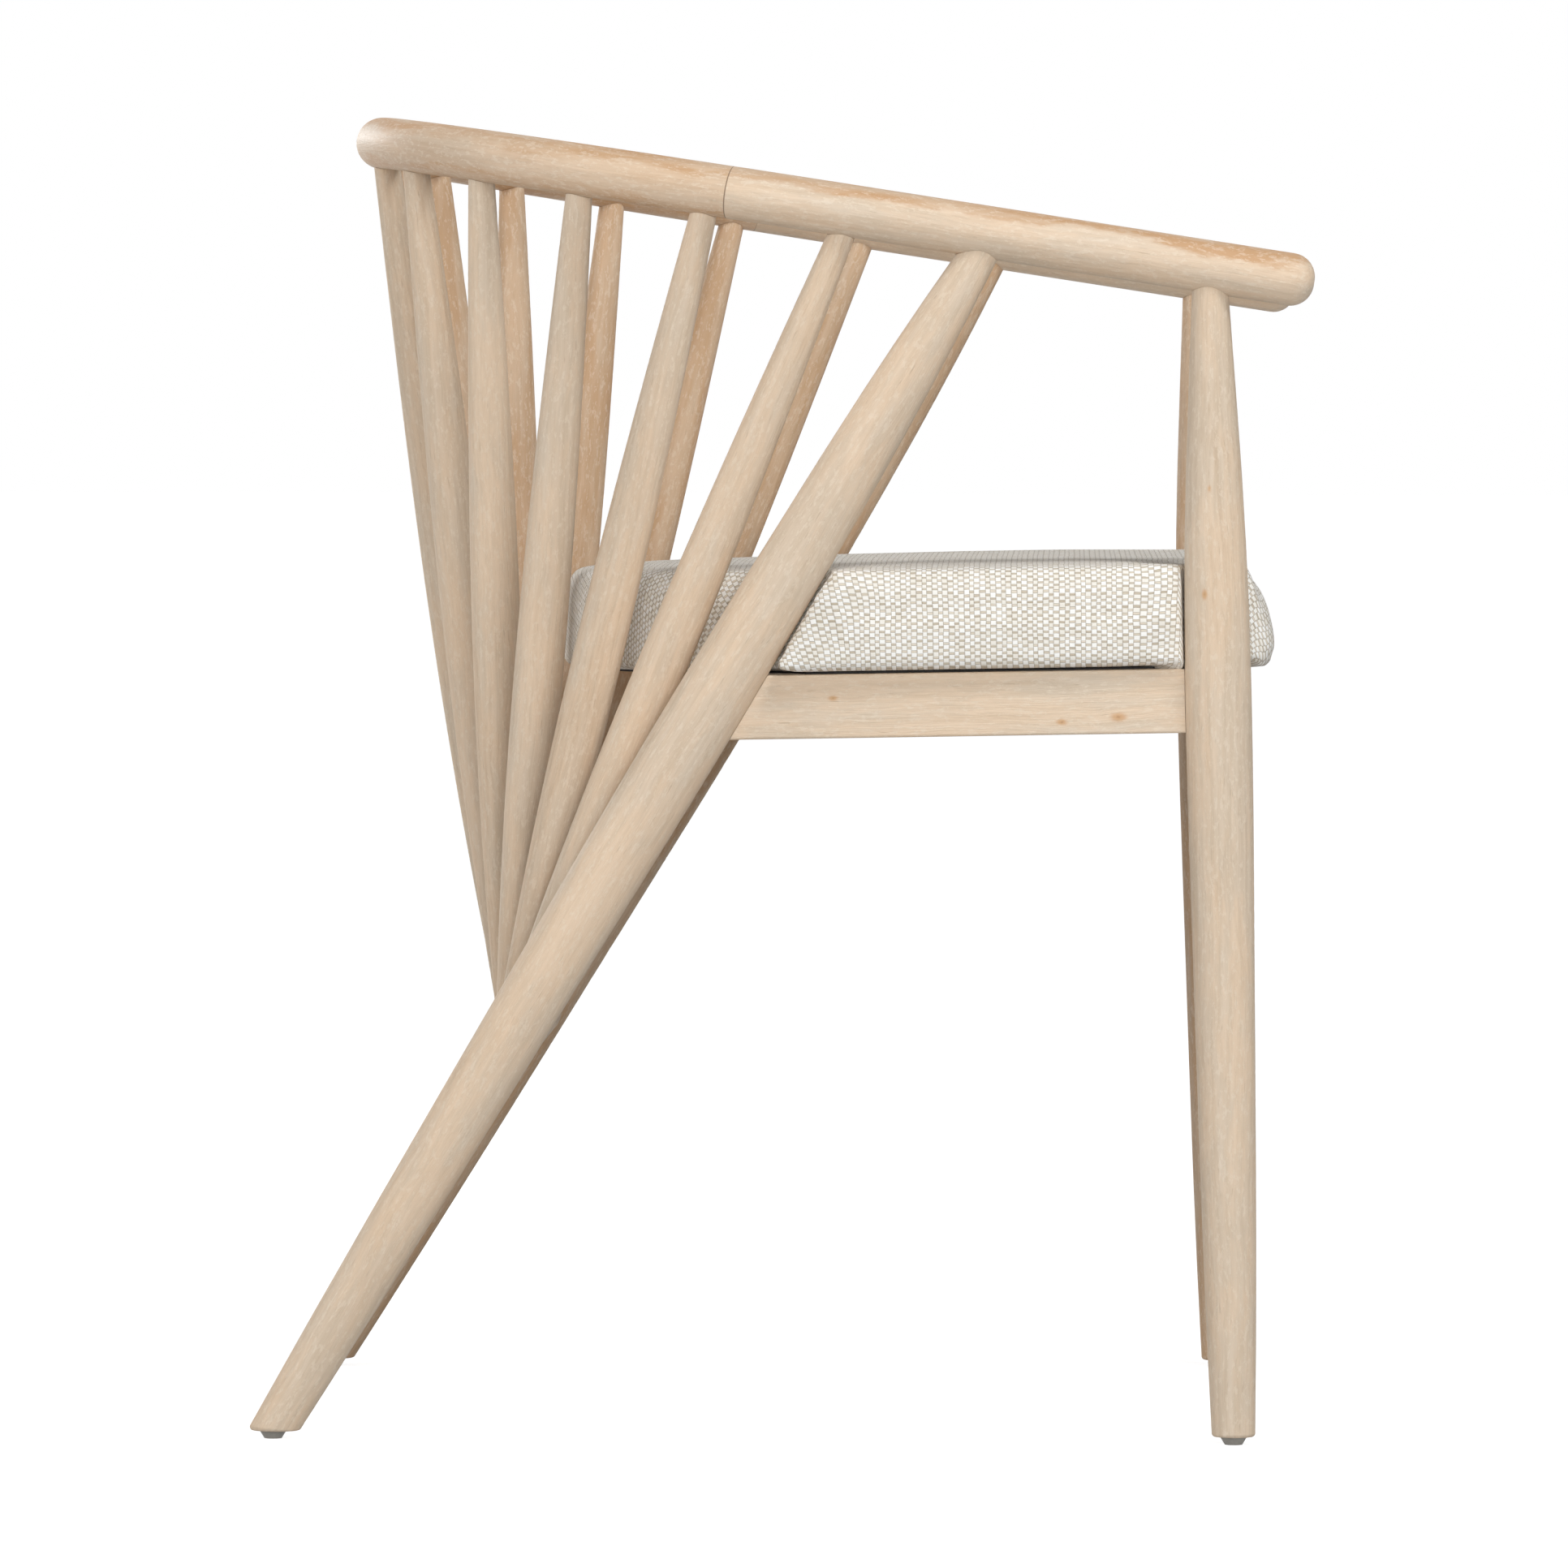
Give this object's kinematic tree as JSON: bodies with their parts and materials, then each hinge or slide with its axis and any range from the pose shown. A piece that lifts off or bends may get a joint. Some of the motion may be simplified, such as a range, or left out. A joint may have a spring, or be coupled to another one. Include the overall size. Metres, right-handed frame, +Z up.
{
  "type": "armchair",
  "caption": "Round-backed wooden armchair: one sloping round hoop makes back and arms, held by a fan of turned spindles, raked rear legs and an upholstered seat.",
  "frame": {"origin": "middle of the chair's outline on the floor", "axes": "+Z up, front of the seat towards -Y, sitter's left towards +X"},
  "size_m": [0.606, 0.6059, 0.7599],
  "materials": {
    "arm_left": "pale bleached hardwood, matt",
    "arm_right": "pale bleached hardwood, matt",
    "back_rail": "pale bleached hardwood, matt",
    "corner_block_front_left": "pale bleached hardwood, matt",
    "corner_block_front_right": "pale bleached hardwood, matt",
    "corner_block_rear_left": "pale bleached hardwood, matt",
    "corner_block_rear_right": "pale bleached hardwood, matt",
    "corner_block_screws": "zinc-plated",
    "dust_cover": "thin black non-woven cloth",
    "front_leg_left": "pale bleached hardwood, matt",
    "front_leg_right": "pale bleached hardwood, matt",
    "front_seat_rail": "pale bleached hardwood, matt",
    "glide_front_left": "satin moulded plastic",
    "glide_front_right": "satin moulded plastic",
    "glide_rear_left": "satin moulded plastic",
    "glide_rear_right": "satin moulded plastic",
    "rail_dowels": "pale bleached hardwood, matt",
    "rear_leg_left": "pale bleached hardwood, matt",
    "rear_leg_right": "pale bleached hardwood, matt",
    "rear_seat_rail": "pale bleached hardwood, matt",
    "rear_stretcher": "pale bleached hardwood, matt",
    "seat_board": "raw plywood",
    "seat_cover": "basket weave in cream and grey-beige",
    "seat_foam": "open-cell foam",
    "seat_screws": "zinc-plated",
    "side_seat_rail_left": "pale bleached hardwood, matt",
    "side_seat_rail_right": "pale bleached hardwood, matt",
    "spindle_1_left": "pale bleached hardwood, matt",
    "spindle_1_right": "pale bleached hardwood, matt",
    "spindle_2_left": "pale bleached hardwood, matt",
    "spindle_2_right": "pale bleached hardwood, matt",
    "spindle_3_left": "pale bleached hardwood, matt",
    "spindle_3_right": "pale bleached hardwood, matt",
    "spindle_4_left": "pale bleached hardwood, matt",
    "spindle_4_right": "pale bleached hardwood, matt",
    "spindle_5_left": "pale bleached hardwood, matt",
    "spindle_5_right": "pale bleached hardwood, matt",
    "spindle_6_left": "pale bleached hardwood, matt",
    "spindle_6_right": "pale bleached hardwood, matt"
  },
  "bodies": {
    "root": {"arm_left": "arm_left", "arm_right": "arm_right", "back_rail": "back_rail", "corner_block_front_left": "corner_block_front_left", "corner_block_front_right": "corner_block_front_right", "corner_block_rear_left": "corner_block_rear_left", "corner_block_rear_right": "corner_block_rear_right", "corner_block_screws": "corner_block_screws", "dust_cover": "dust_cover", "front_leg_left": "front_leg_left", "front_leg_right": "front_leg_right", "front_seat_rail": "front_seat_rail", "glide_front_left": "glide_front_left", "glide_front_right": "glide_front_right", "glide_rear_left": "glide_rear_left", "glide_rear_right": "glide_rear_right", "rail_dowels": "rail_dowels", "rear_leg_left": "rear_leg_left", "rear_leg_right": "rear_leg_right", "rear_seat_rail": "rear_seat_rail", "rear_stretcher": "rear_stretcher", "seat_board": "seat_board", "seat_cover": "seat_cover", "seat_foam": "seat_foam", "seat_screws": "seat_screws", "side_seat_rail_left": "side_seat_rail_left", "side_seat_rail_right": "side_seat_rail_right", "spindle_1_left": "spindle_1_left", "spindle_1_right": "spindle_1_right", "spindle_2_left": "spindle_2_left", "spindle_2_right": "spindle_2_right", "spindle_3_left": "spindle_3_left", "spindle_3_right": "spindle_3_right", "spindle_4_left": "spindle_4_left", "spindle_4_right": "spindle_4_right", "spindle_5_left": "spindle_5_left", "spindle_5_right": "spindle_5_right", "spindle_6_left": "spindle_6_left", "spindle_6_right": "spindle_6_right"}
  },
  "joints": []
}
